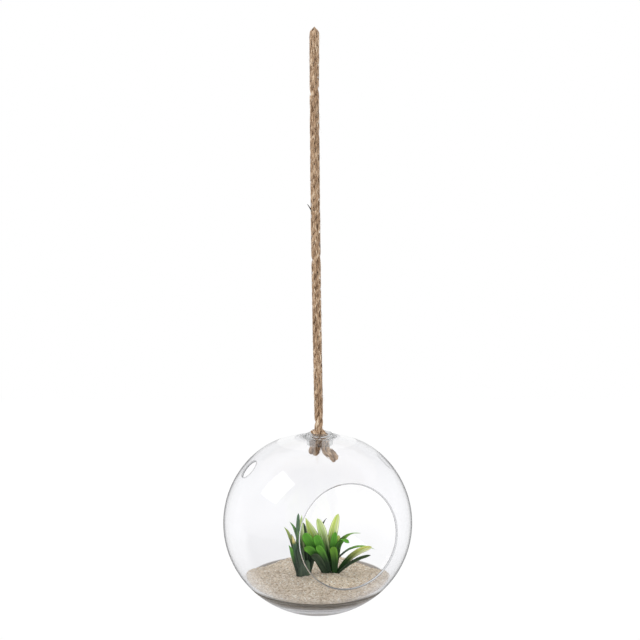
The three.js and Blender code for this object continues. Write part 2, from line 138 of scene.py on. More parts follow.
# Node helpers
def fill(tree, made, inputs):
    """Sets a node's inputs to numbers or colours, or links other nodes' outputs to them."""
    for key, value in inputs.items():
        socket = made.inputs[key]
        if isinstance(value, bpy.types.NodeSocket):
            tree.links.new(value, socket)
        elif isinstance(value, tuple) and socket.type == "RGBA":
            socket.default_value = (*value, 1)
        else:
            socket.default_value = value


def new_material(name):
    material = bpy.data.materials.new(name)
    material.use_nodes = True
    return material, material.node_tree, material.node_tree.nodes["Principled BSDF"]


def bare_material(name):
    material, tree, _ = new_material(name)
    tree.nodes.clear()
    return material, tree


def node(tree, kind, inputs=None, **settings):
    made = tree.nodes.new("ShaderNode" + kind)
    for key, value in settings.items():
        setattr(made, key, value)
    fill(tree, made, inputs or {})
    return made


def noise_node(tree, vector, scale, detail=2, roughness=0.5):
    inputs = {"Vector": vector, "Scale": scale, "Detail": detail, "Roughness": roughness}
    return node(tree, "TexNoise", inputs).outputs["Fac"]


def streaks(tree, way, scale, detail=2, roughness=0.5):
    """Noise with its own scale in each direction."""
    place = node(tree, "Mapping", {"Vector": way, "Scale": scale}).outputs["Vector"]
    return noise_node(tree, place, 1.0, detail, roughness)


def ramp(tree, factor, stops):
    made = node(tree, "ValToRGB", {"Fac": factor})
    elements = made.color_ramp.elements
    while len(elements) < len(stops):
        elements.new(0.5)
    for element, (place, colour) in zip(elements, stops):
        element.position = place
        element.color = (*colour, 1)
    return made.outputs["Color"]


def mixed(tree, factor, first, second, blend="MIX"):
    inputs = {0: factor, 6: first, 7: second}
    return node(tree, "Mix", inputs, data_type="RGBA", blend_type=blend).outputs[2]


def bump(tree, height, distance, strength):
    inputs = {"Height": height, "Distance": distance, "Strength": strength}
    return node(tree, "Bump", inputs).outputs["Normal"]


def math_node(tree, operation, first, second):
    return node(tree, "Math", {0: first, 1: second}, operation=operation).outputs[0]


def times(tree, first, second):
    return math_node(tree, "MULTIPLY", first, second)


def map_range(tree, value, start, stop, low=0.0, high=1.0, way="SMOOTHSTEP"):
    inputs = {"Value": value, "From Min": start, "From Max": stop, "To Min": low, "To Max": high}
    return node(tree, "MapRange", inputs, interpolation_type=way).outputs[0]


def mixed_shader(tree, factor, first, second):
    inputs = {0: factor, 1: first.outputs[0], 2: second.outputs[0]}
    return node(tree, "MixShader", inputs)


# Shape helpers
def turns(count):
    """Angles at even steps once round."""
    return [TAU * j / count for j in range(count)]


def unit(vector):
    return vector / np.linalg.norm(vector)


def band(faces, low, high, count):
    """Quads between two rings of points, each given by its first point."""
    for j in range(count):
        k = (j + 1) % count
        faces.append((low + j, low + k, high + k, high + j))


def tube(faces, uvs, base, us, vs):
    """A closed tube over rings of points, with a u for each ring and a v for each side's edges."""
    sides = len(vs) - 1
    for i, (u0, u1) in enumerate(zip(us, us[1:])):
        band(faces, base + i * sides, base + (i + 1) * sides, sides)
        uvs.extend([(u0, v0), (u0, v1), (u1, v1), (u1, v0)] for v0, v1 in zip(vs, vs[1:]))
    last = base + (len(us) - 1) * sides
    faces += [tuple(range(base, base + sides))[::-1], tuple(range(last, last + sides))]
    uvs += [[(us[0], vs[0])] * sides] * 2


def close_columns(faces, first, columns, count, top, bottom):
    """Faces between columns of points that stand round an axis, with a point over each end of them."""
    for i in range(columns):
        a, b = first + i * count, first + (i + 1) % columns * count
        faces.extend((a + j, a + j + 1, b + j + 1, b + j) for j in range(count - 1))
        faces += [(top, a, b), (bottom, b + count - 1, a + count - 1)]


def set_uvs(piece, name, uvs):
    layer = piece.data.uv_layers.new(name=name)
    layer.data.foreach_set("uv", [c for face in uvs for pair in face for c in pair])


# Rope. Its route runs from the folded tail, through the eye, down to the knot's cut end.
ROPE_RADIUS = 0.00475
UPPER_GROWTH = 0.99
LOWER_GROWTH = 0.94
GROWTH_SPAN = (-0.36, -0.15)
EYE_HALF_WIDTH = 0.0042
EYE_DROP = 0.02
TAIL_DROP = 0.026
THROAT_DROP = 0.048
LEG_GAP = 0.0005
LINK_LENGTH = 0.012
RUN_BOW = 0.0006
KNOT_RISE = 0.0045
KNOT_LEAD = 0.0012
KNOT_RADIUS = 0.0048
KNOT_EASE = 0.012
RING_STEP = 0.0008
STRANDS = 3
STRAND_SIDES = 28
ROPE_PITCH = 0.034
# A strand's yarns, their turns for each turn of the strands, and how far they and their frayed fibres stand
# out, as shares of the strand's radius
YARNS = 7
YARN_TURNS = -2.1
YARN_RIDGE = 0.055
FRAY = 0.07
SLIVER_THICK = 0.00018
FIBRE_LIFT = 0.0012
END_BULGE = 0.0011
# Heights between which the bend over the hook is drawn to a point, and by what share
BEND_SPAN = (0.003, 0.0105)
BEND_NARROWED = 0.72
# How much painted shade darkens the knot in the collar under the lip, and more its turns at the left
COLLAR_SHADE = 0.16
LEFT_SHADE = 0.3

KNOT_TOP = np.array([NECK_AXIS[0] - KNOT_LEAD, NECK_AXIS[1], GLOBE_CENTRE[2] + LIP_HEIGHT + KNOT_RISE])
NECK_TOP = KNOT_TOP + (0, 0, LINK_LENGTH)
THROAT_FOOT = np.array([0, 0, -THROAT_DROP - LINK_LENGTH])

# The knot's strand, as offsets in metres from the neck's axis and the foot of the collar
KNOT_STRAND = (
    (-0.0013, 0.0006, 0.0145),
    (-0.0014, 0.0028, 0.0075),
    (-0.0022, 0.0032, -0.0012),
    (-0.0058, 0.0012, -0.0068),
    (-0.0074, -0.0024, -0.0044),
    (-0.0060, -0.0034, 0.0030),
    (-0.0049, -0.0036, 0.0100),
    (-0.0060, 0.0006, 0.0122),
    (-0.0025, 0.0052, 0.0120),
    (0.0032, 0.0046, 0.0114),
    (0.0060, 0.0014, 0.0080),
    (0.0050, -0.0024, 0.0010),
    (0.0066, -0.0030, -0.0046),
    (0.0122, -0.0029, -0.0094),
    (0.0172, -0.0026, -0.0137),
)


def eye_route():
    bend = EYE_HALF_WIDTH + ROPE_RADIUS
    beside = ROPE_RADIUS + LEG_GAP / 2
    crown = ROPE_RADIUS - bend
    slant = bend * math.sqrt(0.5)
    halfway = ((beside + bend) / 2, (crown - EYE_DROP) / 2)
    leg = [(beside, -EYE_DROP), halfway, (bend, crown), (slant, crown + slant)]
    route = [(-beside, -TAIL_DROP)] + [(-y, z) for y, z in leg] + [(0, ROPE_RADIUS)] + leg[::-1]
    route += [(beside, -TAIL_DROP), (beside / 2, -(TAIL_DROP + THROAT_DROP) / 2), (0, -THROAT_DROP)]
    return [(0, y, z) for y, z in route]


def rope_route():
    run = []
    for share in np.linspace(0, 1, 7):
        point = THROAT_FOOT + (NECK_TOP - THROAT_FOOT) * share
        point[0] -= RUN_BOW * math.sin(math.pi * share)
        run.append(point)
    knot_zero = np.array([*NECK_AXIS, GLOBE_CENTRE[2] + COLLAR_FOOT])
    knot = [knot_zero + np.array(offset) for offset in KNOT_STRAND]
    return np.array([*eye_route(), *run, KNOT_TOP, *knot], float)


def between(first, second, start, stop, t):
    """The point at t on the straight way from one point at start to another at stop."""
    return (first * (stop - t) + second * (t - start)) / (stop - start)


def smooth_line(points, step):
    """A centripetal Catmull-Rom curve through the points, at even steps."""
    ends = np.vstack([2 * points[0] - points[1], points, 2 * points[-1] - points[-2]])
    line = []
    for a, b, c, d in zip(ends, ends[1:], ends[2:], ends[3:]):
        ta = np.linalg.norm(b - a) ** 0.5
        tb = ta + np.linalg.norm(c - b) ** 0.5
        tc = tb + np.linalg.norm(d - c) ** 0.5
        for t in np.linspace(ta, tb, 24, endpoint=False):
            second = between(b, c, ta, tb, t)
            low = between(between(a, b, 0, ta, t), second, 0, tb, t)
            high = between(second, between(c, d, tb, tc, t), ta, tc, t)
            line.append(between(low, high, ta, tb, t))
    line.append(points[-1])
    line = np.array(line)
    along = np.concatenate([[0], np.cumsum(np.linalg.norm(np.diff(line, axis=0), axis=1))])
    places = np.linspace(0, along[-1], int(along[-1] / step) + 1)
    return np.stack([np.interp(places, along, line[:, k]) for k in range(3)], axis=1), places


def carried_frames(line):
    """Two unit vectors across the line at each point, carried along it without twist."""
    tangent = np.gradient(line, axis=0)
    tangent /= np.linalg.norm(tangent, axis=1)[:, None]
    across = np.zeros_like(line)
    across[0] = np.cross(tangent[0], (1, 0, 0))
    for i in range(len(line)):
        if i:
            across[i] = across[i - 1]
        across[i] -= tangent[i] * across[i].dot(tangent[i])
        across[i] /= np.linalg.norm(across[i])
    return tangent, across, np.cross(tangent, across)


def wander(places, length, seed):
    """Slow random drift from -1 to 1 along a line."""
    return np.array([noise.noise((p / length, seed * 7.3, 0)) for p in places])


def squeezed(points):
    """Points of the knot, kept clear of the throat and the collar that squeeze it."""
    offset = points[:, :2] - NECK_AXIS
    reach = np.linalg.norm(offset, axis=1)
    height = points[:, 2] - GLOBE_CENTRE[2]
    clear = 0.0004
    below = BORE_RADIUS - clear + np.maximum(0, COLLAR_FOOT - clear - height) * 2.5
    roll = np.clip((height - LIP_HEIGHT + LIP_ROUND) / LIP_ROUND, 0, 1)
    above = THROAT_RADIUS - clear + LIP_ROUND * (1 - np.sqrt(1 - roll ** 2))
    limit = np.where(height < LIP_UNDERSIDE - clear, below, above)
    limit = np.where(height > LIP_HEIGHT + clear, 1, limit)
    # The turn on the right lies flatter on the lip than the one on the left
    flatness = 0.5 * smoothstep(0.004, 0.007, offset[:, 0]) * (height > LIP_HEIGHT)
    points[:, 2] -= flatness * (height - LIP_HEIGHT)
    soft = 0.0008
    over = np.maximum(0, reach - (limit - soft))
    held = np.where(over > 0, limit - soft + soft * np.tanh(over / soft), reach)
    points[:, :2] = NECK_AXIS + offset * (held / np.maximum(reach, 1e-9))[:, None]
    return points


def pointed(points):
    """Points of the rope, drawn to a point at the bend over the hook, seen from the front."""
    points[..., 0] *= 1 - BEND_NARROWED * smoothstep(*BEND_SPAN, points[..., 2])
    return points


class RopeBody:
    """Three twisted strands along the route: points by ring, strand and side."""

    def __init__(self):
        self.line, self.places = smooth_line(rope_route(), RING_STEP)
        tangent, across, beside = carried_frames(self.line)
        height = self.line[:, 2]
        self.knot_from = self.places[np.argmin(np.linalg.norm(self.line - KNOT_TOP, axis=1))]
        growth = LOWER_GROWTH + (UPPER_GROWTH - LOWER_GROWTH) * smoothstep(*GROWTH_SPAN, height)
        knot_share = smoothstep(0, KNOT_EASE, self.places - self.knot_from)
        radius = ROPE_RADIUS * growth * (1 - knot_share) + KNOT_RADIUS * knot_share
        radius = radius * (1 + 0.025 * wander(self.places, 0.016, 1))
        self.radius = radius
        whole_turn = TAU * self.places / ROPE_PITCH + 0.35 * wander(self.places, 0.05, 2)
        strand_radius = radius / (1 + 2 / math.sqrt(3))
        rings = np.zeros((len(self.line), STRANDS, STRAND_SIDES, 3))
        for strand in range(STRANDS):
            turn = whole_turn + TAU * strand / STRANDS
            out = across * np.cos(turn)[:, None] + beside * np.sin(turn)[:, None]
            side = np.cross(tangent, out)
            own = strand_radius * (1.06 + 0.09 * wander(self.places, 0.009, 11 + strand))
            middle = self.line + out * (radius - own * 1.02)[:, None]
            yarn_turn = YARN_TURNS * whole_turn + 0.5 * wander(self.places, 0.02, 21 + strand)
            for j, angle in enumerate(turns(STRAND_SIDES)):
                ridge = math.cos(YARNS * angle)
                fray = wander(self.places, 0.0045, 40 + strand * YARNS + int(j * YARNS / STRAND_SIDES))
                reach = own * (1 + YARN_RIDGE * ridge + FRAY * fray)
                a = yarn_turn + angle
                way = out * np.cos(a)[:, None] + side * np.sin(a)[:, None]
                rings[:, strand, j] = middle + way * reach[:, None]
        rings = pointed(rings)
        in_knot = self.places > self.knot_from
        knotted = rings[in_knot].reshape(-1, 3)
        rings[in_knot] = squeezed(knotted).reshape(rings[in_knot].shape)
        self.rings = rings
        self.across, self.beside, self.tangent = across, beside, tangent

    def ring_at(self, height, after=0.0):
        """The ring nearest to a height, among those past a place along the rope."""
        far = np.where(self.places >= after, np.abs(self.line[:, 2] - height), 9)
        return int(far.argmin())

    def strip(self, ring, around, length, drift, steps, start, stop):
        """Steps along the rope from a ring: share, nearest ring, rings past it, ways out and aside."""
        way = 1 if ring < (start + stop) / 2 else -1
        for share in (k / steps for k in range(steps + 1)):
            at = ring + way * length * share / RING_STEP
            low, angle = int(min(max(at, start), stop)), around + drift * share
            out = self.across[low] * math.cos(angle) + self.beside[low] * math.sin(angle)
            yield share, low, at - low, out, np.cross(self.tangent[low], out)

    def settled(self, points, ring):
        """Points of a fibre that starts at a ring, drawn in like the strands at the bend and the knot."""
        points = pointed(np.array(points))
        return squeezed(points) if self.places[ring] > self.knot_from else points


def add_fibres(rope, start, stop, count, points, faces, uvs):
    """Loose fibres that lie along the rope and stand off it at one end."""
    steps = 5
    for _ in range(count):
        ring, around = random.randint(start, stop), random.uniform(0, TAU)
        length, rise = random.uniform(0.003, 0.010), FIBRE_LIFT * random.random() ** 2 + 0.0002
        drift, thick = random.uniform(-0.5, 0.5), random.uniform(0.00004, 0.00008)
        base = len(points)
        spine, sides = [], []
        for share, low, past, out, side in rope.strip(ring, around, length, drift, steps, start, stop):
            reach = rope.radius[low] * 0.93 + rise * share ** 1.6 * 2
            spine.append(rope.line[low] + rope.tangent[low] * past * RING_STEP + out * reach)
            sides.append((out, side))
        for k, (point, (out, side)) in enumerate(zip(rope.settled(spine, ring), sides)):
            size = thick * (1 - 0.7 * k / steps)
            points.extend(point + (out * math.cos(a) + side * math.sin(a)) * size for a in turns(3))
            if k:
                band(faces, base + 3 * k - 3, base + 3 * k, 3)
                for u in (random.random() for _ in range(3)):
                    uvs.append([(u, 0.02), (u, 0.02), (u, 0.03), (u, 0.03)])


def add_slivers(rope, start, stop, count, points, faces, uvs):
    """Flat strips of fibre that lie over the grooves, nearly along the rope."""
    steps, corners = 8, 6
    for _ in range(count):
        ring = random.randint(start + 1, stop - 1)
        around, drift = random.uniform(0, TAU), random.uniform(-0.35, 0.2)
        length, wide = random.uniform(0.005, 0.014), random.uniform(0.0003, 0.00075)
        u_start, v_start = random.uniform(0, 7), random.uniform(0, 3)
        made = []
        for share, low, _, out, side in rope.strip(ring, around, length, drift, steps, start, stop):
            swell = math.sin(math.pi * (0.04 + 0.92 * share)) ** 0.6
            middle = rope.line[low] + out * rope.radius[low] * (0.94 + 0.07 * swell)
            for b in turns(corners):
                made.append(middle + (side * wide * math.cos(b) + out * SLIVER_THICK * math.sin(b)) * swell)
        us = [u_start + length * k / steps for k in range(steps + 1)]
        tube(faces, uvs, len(points), us, [v_start + corner * 0.02 for corner in range(corners + 1)])
        points.extend(rope.settled(made, ring))


def rope_piece(name, rope, start, stop, closed_start, closed_end, fibres, slivers):
    points, faces, uvs = [], [], []
    count, part = stop - start + 1, slice(start, stop + 1)
    places = rope.places[part]
    for strand in range(STRANDS):
        base = len(points)
        points.extend(rope.rings[part, strand].reshape(-1, 3))
        for i in range(count - 1):
            a, b = base + i * STRAND_SIDES, base + (i + 1) * STRAND_SIDES
            for j in range(STRAND_SIDES):
                k = (j + 1) % STRAND_SIDES
                faces.append((a + j, b + j, b + k, a + k))
                v0, v1 = strand + j / STRAND_SIDES, strand + (j + 1) / STRAND_SIDES
                uvs.append([(places[i], v0), (places[i + 1], v0), (places[i + 1], v1), (places[i], v1)])
        for cap, ring, way in ((closed_start, 0, -1), (closed_end, count - 1, 1)):
            first, middle = base + ring * STRAND_SIDES, len(points)
            centre = np.mean(points[first:first + STRAND_SIDES], axis=0)
            points.append(centre + rope.tangent[start + ring] * way * (END_BULGE if cap else 0))
            for j in range(STRAND_SIDES):
                pair = (first + j, first + (j + 1) % STRAND_SIDES)
                faces.append((*pair[::-way], middle))
                uvs.append([(places[ring], strand + j / STRAND_SIDES)] * 3)
    add_slivers(rope, start, stop, slivers, points, faces, uvs)
    add_fibres(rope, start, stop, fibres, points, faces, uvs)
    piece = mesh_object(name, points, faces)
    set_uvs(piece, "rope_way", uvs)
    # How deep each point lies towards the middle of the rope, where painted shade darkens the grooves
    # between the strands
    depth = np.ones(len(points), np.float32)
    away = np.linalg.norm(rope.rings[part] - rope.line[part, None, None], axis=3)
    away /= rope.radius[part, None, None]
    for strand in range(STRANDS):
        base = strand * (count * STRAND_SIDES + 2)
        depth[base:base + count * STRAND_SIDES] = away[:, strand].reshape(-1)
    # Painted shade: the knot's turns in the collar, under the lip, are drawn darker, more so at the left
    x, _, z = np.array(points).T
    in_collar = smoothstep(LIP_HEIGHT, LIP_HEIGHT - 0.003, z - GLOBE_CENTRE[2])
    depth *= 1 - LEFT_SHADE * in_collar * smoothstep(0.007, 0.001, x - NECK_AXIS[0])
    depth *= 1 - COLLAR_SHADE * in_collar
    piece.data.attributes.new("depth", "FLOAT", "POINT").data.foreach_set("value", depth)
    piece.data.materials.append(bpy.data.materials["jute"])
    return piece


def jute_material():
    _, tree, shader = new_material("jute")
    way = node(tree, "UVMap", uv_map="rope_way").outputs["UV"]
    streak = streaks(tree, way, (150, 9, 1), 4, 0.7)
    broad = streaks(tree, way, (60, 1.5, 1))
    fine = streaks(tree, way, (500, 60, 1))
    share = times(tree, streak, 0.62)
    tone = math_node(tree, "ADD", share, times(tree, broad, 0.38))
    colour = ramp(tree, tone, (
        (0.34, linear(84, 58, 40)),
        (0.44, linear(158, 126, 96)),
        (0.53, linear(200, 168, 136)),
        (0.62, linear(250, 230, 202)),
    ))
    depth = node(tree, "Attribute", attribute_name="depth").outputs["Fac"]
    # Painted shade in the grooves: darker where a point lies deeper towards the rope's middle
    shade = ramp(tree, depth, ((0.45, (0.55, 0.5, 0.45)), (0.7, (0.88, 0.86, 0.84)), (0.88, (1, 1, 1))))
    height = math_node(tree, "ADD", streak, times(tree, fine, 0.4))
    fill(tree, shader, {
        "Base Color": mixed(tree, 1.0, colour, shade, "MULTIPLY"),
        "Roughness": 0.9,
        "Specular IOR Level": 0.15,
        "Sheen Weight": 0.25,
        "Sheen Roughness": 0.5,
        "Normal": bump(tree, height, 0.0005, 0.8),
    })


def splinter_material():
    material, tree, shader = new_material("splinter")
    tone = noise_node(tree, node(tree, "TexCoord").outputs["Object"], 900, 3)
    colour = ramp(tree, tone, ((0.4, (0.008, 0.006, 0.005)), (0.7, (0.03, 0.02, 0.014))))
    fill(tree, shader, {"Base Color": colour, "Roughness": 0.8})
    return material


def make_splinter():
    """A dark woody fibre that stands off the rope."""
    outer, inner = np.array([-0.0072, -0.0035, -0.1695]), np.array([-0.0028, -0.003, -0.1772])
    points, faces = [], []
    sides, steps = 6, 7
    along = inner - outer
    out = unit(np.cross(along, (0, 1, 0)))
    side = unit(np.cross(along, out))
    for i in range(steps + 1):
        share = i / steps
        size = 0.00052 * math.sin(math.pi * (0.08 + 0.84 * share)) ** 0.6
        bow = out * 0.0004 * math.sin(math.pi * share)
        for a in turns(sides):
            around = out * math.cos(a) + side * math.sin(a) * 0.7
            points.append(outer + along * share + bow + around * size)
    tube(faces, [], 0, range(steps + 1), range(sides + 1))
    piece = mesh_object("rope_splinter", points, faces)
    piece.data.materials.append(splinter_material())
    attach(piece, "rope")


def make_rope():
    jute_material()
    rope = RopeBody()
    past_eye = rope.places[rope.ring_at(-THROAT_DROP)] - 0.004
    cuts = [0]
    half = LINK_LENGTH / 2
    for height in (-THROAT_DROP - half, (THROAT_FOOT[2] + NECK_TOP[2]) / 2, NECK_TOP[2] - half):
        cuts.append(rope.ring_at(height, past_eye))
    cuts.append(len(rope.line) - 1)
    throat = np.array([0, 0, -THROAT_DROP])
    joints = (
        ("rope_eye_twist", "hanging_eye", "throat", throat, ("rope_eye", "rope_throat")),
        ("rope_upper_twist", "throat", "rope", THROAT_FOOT, ()),
        ("rope_lower_twist", "rope", "neck", NECK_TOP, ("rope_run", "rope_neck")),
        ("rope_knot_twist", "neck", "knot", KNOT_TOP, ("rope_knot",)),
    )
    fibres = (260, 420, 420, 130)
    slivers = (420, 620, 560, 90)
    for i, (name, above, below, pivot, nodes) in enumerate(joints):
        start, stop = cuts[i], cuts[i + 1]
        piece = rope_piece(name, rope, start, stop, i == 0, i == 3, fibres[i], slivers[i])
        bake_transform(piece)
        if nodes:
            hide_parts(*nodes)
    make_splinter()


# Glass
def inner_depth(r):
    bowl = INNER_HALF_HEIGHT * math.sqrt(max(0.0, 1 - (r / INNER_RADIUS) ** 2))
    if bowl < 1e-9:
        return 0.0
    return (bowl ** -FLOOR_SHARPNESS + FLOOR_DROP ** -FLOOR_SHARPNESS) ** (-1 / FLOOR_SHARPNESS)


def inner_reach(depth):
    low, high = 0.0, INNER_RADIUS
    for _ in range(40):
        middle = (low + high) / 2
        if inner_depth(middle) > depth:
            low = middle
        else:
            high = middle
    return low


def neck_shift(r, height):
    if height < 0:
        return 0.0
    return NECK_ASIDE * (1 - float(smoothstep(LIP_RADIUS, NECK_SPREAD, r)))


def arc(middle, radius, start, stop, steps):
    """Points on an arc of the section, from one angle to another in degrees."""
    return [
        (middle[0] + radius * math.cos(math.radians(a)), middle[1] + radius * math.sin(math.radians(a)))
        for a in np.linspace(start, stop, steps)
    ]


def globe_section():
    """Outside wall from the foot to the lip, then the collar, the inside wall and the floor, as (r, z)."""
    section = []
    foot_radius = GLOBE_RADIUS * math.sqrt(1 - (FOOT_DROP / GLOBE_HALF_HEIGHT) ** 2)
    section += [(foot_radius * share, -FOOT_DROP) for share in np.linspace(0, 0.94, 6)]
    bottom = -math.asin(FOOT_DROP / GLOBE_HALF_HEIGHT) + 0.012
    top = math.acos(LIP_RADIUS / GLOBE_RADIUS)
    for angle in np.linspace(bottom, top, 110):
        r = GLOBE_RADIUS * math.cos(angle)
        height = GLOBE_HALF_HEIGHT * math.sin(angle)
        section.append((r, dome_height(r, GLOBE_RADIUS, GLOBE_HALF_HEIGHT) if angle > 0 else height))
    # The glass rises to the lip's crest, rolls over it into the throat, and flares out again to the bore
    crest_radius = THROAT_RADIUS + LIP_ROUND
    quarter = np.radians(np.linspace(0, 90, 13))[1:]
    sine, cosine = np.sin(quarter), np.cos(quarter)
    section += zip(np.linspace(LIP_RADIUS, crest_radius, 13)[1:], LIP_HEIGHT - LIP_RISE * (1 - sine))
    section += zip(crest_radius - LIP_ROUND * sine, LIP_HEIGHT - LIP_ROUND * (1 - cosine))
    flare = BORE_RADIUS - (BORE_RADIUS - THROAT_RADIUS) * cosine
    section += zip(flare, LIP_HEIGHT - LIP_ROUND - THROAT_FLARE * sine)
    edge = COLLAR_WALL / 2
    section += [(BORE_RADIUS, LIP_UNDERSIDE - step) for step in (0.0005, 0.0025, 0.0045, 0.0065)]
    section += arc((BORE_RADIUS + edge, COLLAR_FOOT + edge), edge, 180, 360, 11)
    # Outside of the collar, which turns through a fillet into the inside wall
    collar_out = BORE_RADIUS + COLLAR_WALL
    fillet = 0.0034
    under = dome_height(collar_out + fillet, INNER_RADIUS, INNER_HALF_HEIGHT) - UNDER_DROP
    section += [(collar_out, (COLLAR_FOOT + edge + under - fillet) / 2)]
    section += arc((collar_out + fillet, under - fillet), fillet, 180, 94, 10)
    inner_top = math.acos((collar_out + fillet + 0.0012) / INNER_RADIUS)
    for angle in np.linspace(inner_top, 0, 70, endpoint=False):
        r = INNER_RADIUS * math.cos(angle)
        section.append((r, dome_height(r, INNER_RADIUS, INNER_HALF_HEIGHT)))
    for share in np.linspace(0, 1, 90, endpoint=False):
        r = INNER_RADIUS * math.cos(share * math.pi / 2)
        section.append((r, -inner_depth(r)))
    section.append((0, -inner_depth(0)))
    return section


def lathe(name, section, segments):
    """A solid turned round the axis from a section that starts and ends on it."""
    points = [(0, 0, section[0][1])]
    for r, z in section[1:-1]:
        points.extend((r * math.cos(a), r * math.sin(a), z) for a in turns(segments))
    last, top = len(points), len(points) - segments
    points.append((0, 0, section[-1][1]))
    pairs = [(j, (j + 1) % segments) for j in range(segments)]
    faces = [(0, 1 + k, 1 + j) for j, k in pairs]
    for first in range(1, top, segments):
        band(faces, first, first + segments, segments)
    faces += [(top + j, top + k, last) for j, k in pairs]
    return mesh_object(name, points, faces)


def outward(turn, rise):
    a, b = math.radians(turn), math.radians(rise)
    return np.array([math.sin(a) * math.cos(b), -math.cos(a) * math.cos(b), math.sin(b)])


def rim_frames(turn, rise, radius, segments):
    """Round an opening: the wall's middle at its rim, the way into the hole and the way out."""
    axis = outward(turn, rise)
    first = unit(np.cross(axis, (0, 0, 1)))
    second = np.cross(axis, first)
    scale = np.array([GLOBE_RADIUS, GLOBE_RADIUS, GLOBE_HALF_HEIGHT])
    frames = []
    for a in turns(segments):
        u = first * math.cos(a) + second * math.sin(a)
        start, way = u * radius / scale, axis / scale
        half = start.dot(way) / way.dot(way)
        reach = -half + math.sqrt(half ** 2 - (start.dot(start) - 1) / way.dot(way))
        outside = u * radius + axis * reach
        normal = unit(outside / scale ** 2)
        into = unit(normal * u.dot(normal) - u)
        frames.append((outside - (normal + into) * WALL / 2, into, normal))
    return frames


def rim_bead(turn, rise, radius, segments):
    """The fire-polished rim of an opening, a little thicker than the wall."""
    sides = 20
    points, faces = [], []
    for middle, into, normal in rim_frames(turn, rise, radius, segments):
        for b in turns(sides):
            points.append(middle + (into * math.cos(b) + normal * math.sin(b)) * BEAD_RADIUS)
    for i in range(segments):
        band(faces, i * sides, (i + 1) % segments * sides, sides)
    return mesh_object("rim_bead", points, faces)


def rim_cutter(turn, rise, radius, segments):
    """A plug that leaves the wall with a rounded rim all round the hole."""
    bend = WALL / 2
    angles = np.radians(np.linspace(76, -76, 13))
    points, faces = [], []
    columns = len(angles) + 2
    for middle, into, normal in rim_frames(turn, rise, radius, segments):
        column = [middle + (into * math.cos(b) + normal * math.sin(b)) * bend for b in angles]
        column.insert(0, column[0] + normal * 0.02)
        column.append(column[-1] - normal * 0.02)
        points.extend(column)
    points += [np.mean(points[end::columns], axis=0) for end in (0, columns - 1)]
    close_columns(faces, 0, segments, columns, len(points) - 2, len(points) - 1)
    return mesh_object("rim_cutter", points, faces)


def face_outward(piece):
    """Turns a closed mesh's faces to face out if its volume comes out negative."""
    mesh = piece.data
    mesh.calc_loop_triangles()
    volume = 0.0
    for t in mesh.loop_triangles:
        a, b, c = (mesh.vertices[i].co for i in t.vertices)
        volume += a.dot(b.cross(c))
    if volume < 0:
        mesh.flip_normals()


def joined(piece, other, operation):
    """Cuts another solid out of the piece, or adds it to the piece."""
    face_outward(other)
    join = piece.modifiers.new("join", "BOOLEAN")
    join.operation = operation
    join.solver = "MANIFOLD"
    join.object = other
    bpy.context.view_layer.update()
    depsgraph = bpy.context.evaluated_depsgraph_get()
    shown = bpy.data.meshes.new_from_object(piece.evaluated_get(depsgraph))
    piece.modifiers.clear()
    piece.data = shown
    bpy.data.objects.remove(other)


def make_glass():
    globe = lathe("glass_shell", globe_section(), 160)
    for vertex in globe.data.vertices:
        r = math.hypot(vertex.co.x, vertex.co.y)
        vertex.co.x += neck_shift(r, vertex.co.z)
    face_outward(globe)
    for turn, rise, radius in OPENINGS:
        segments = 180 if radius > 0.03 else 72
        joined(globe, rim_cutter(turn, rise, radius, segments), "DIFFERENCE")
        joined(globe, rim_bead(turn, rise, radius, segments), "UNION")
    finish_glass(globe)
    globe.location = GLOBE_CENTRE
    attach(globe, "globe")
    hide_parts("glass_globe")


def crown_normal(x, y, z, radius, half_height):
    """Normal of the wall's flattened crown at a point that lies on it, or None where it does not."""
    r = math.hypot(x, y)
    for _ in range(12):
        r = math.hypot(x - neck_shift(r, z), y)
    if r < LIP_RADIUS + 0.0004 or abs(z - dome_height(r, radius, half_height)) > 6e-5:
        return None
    step = 1e-5
    inner, outer = r - step, r + step
    slope = (dome_height(outer, radius, half_height) - dome_height(inner, radius, half_height)) / (2 * step)
    drift = (neck_shift(outer, z) - neck_shift(inner, z)) / (2 * step)
    turn = math.atan2(y, x - neck_shift(r, z))
    return unit(np.array([-slope * math.cos(turn), -slope * math.sin(turn), 1 + drift * math.cos(turn)]))


def finish_glass(globe):
    """Exact normals on the round walls, and one material each for the outside, the inside and the rims."""
    mesh = globe.data
    normals = np.zeros((len(mesh.vertices), 3))
    walls = (
        (GLOBE_RADIUS, GLOBE_HALF_HEIGHT, 1, -FOOT_DROP + 0.002),
        (INNER_RADIUS, INNER_HALF_HEIGHT, -1, -0.06),
    )
    for i, vertex in enumerate(mesh.vertices):
        x, y, z = vertex.co
        for radius, half_height, way, lowest in walls:
            if z > 0 and math.hypot(x, y) < CROWN_SPREAD + 0.001:
                normal = crown_normal(x, y, z, radius, half_height)
            else:
                scale = np.array([radius, radius, half_height])
                on_wall = abs(np.linalg.norm(np.array(vertex.co) / scale) - 1) < 4e-4 and z > lowest
                normal = np.array(vertex.co) / scale ** 2 if on_wall else None
            if normal is not None:
                normals[i] = way * unit(normal)
    mesh.polygons.foreach_set("use_smooth", [True] * len(mesh.polygons))
    mesh.normals_split_custom_set_from_vertices(normals)
    mesh.materials.clear()
    mesh.materials.append(glass_material("glass_outside", OUTSIDE_TINT, outer=True))
    mesh.materials.append(glass_material("glass_inside", INSIDE_TINT))
    mesh.materials.append(glass_material("glass_rim", RIM_TINT, RIM_MILK))
    kinds = [glass_kind(np.array(polygon.center)) for polygon in mesh.polygons]
    mesh.polygons.foreach_set("material_index", kinds)
    mesh.update()


